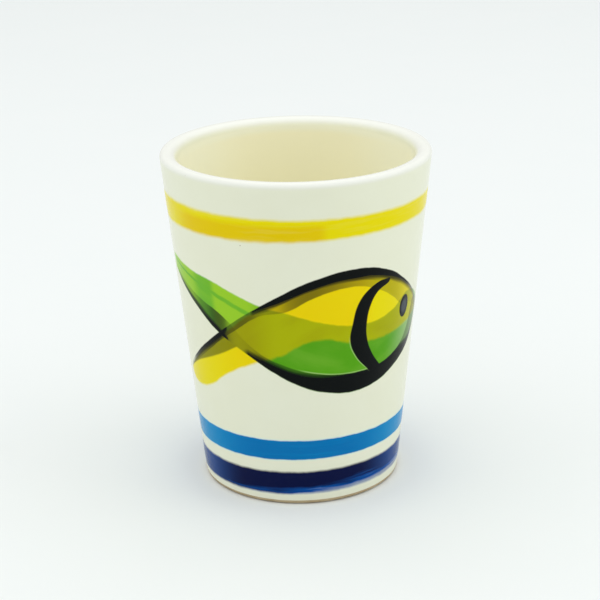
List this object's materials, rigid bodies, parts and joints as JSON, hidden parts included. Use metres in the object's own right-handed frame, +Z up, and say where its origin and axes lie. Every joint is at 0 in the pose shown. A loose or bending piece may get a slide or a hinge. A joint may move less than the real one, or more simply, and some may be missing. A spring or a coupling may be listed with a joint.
{
  "type": "shot glass",
  "caption": "Small tapered ceramic shot cup with a glazed inside, a bare foot ring, colour bands and a brush-painted fish.",
  "frame": {"origin": "centre of the foot, on the surface that the cup stands on", "axes": "+Z up along the cup's axis, -Y towards the painted fish, +X to the right of somebody looking at the fish"},
  "size_m": [0.0472, 0.0472, 0.06],
  "materials": {
    "clay": "bare fired clay, matt and slightly gritty",
    "white_glaze": "warm white gloss glaze",
    "yellow_paint": "yellow brush colour under gloss",
    "sky_blue_paint": "sky blue brush colour under gloss",
    "navy_paint": "navy brush colour under gloss",
    "green_paint": "green brush colour under gloss",
    "black_paint": "black brush colour under gloss"
  },
  "bodies": {
    "root": {"clay_body": "clay", "outer_glaze": "white_glaze", "lining_glaze": "white_glaze", "recess_glaze": "white_glaze", "yellow_band": "yellow_paint", "sky_blue_band": "sky_blue_paint", "navy_band": "navy_paint", "fish_yellow_wash": "yellow_paint", "fish_green_wash": "green_paint", "fish_back_line": "black_paint", "fish_belly_line": "black_paint", "fish_gill_line": "black_paint", "fish_eye": "black_paint"}
  },
  "joints": []
}
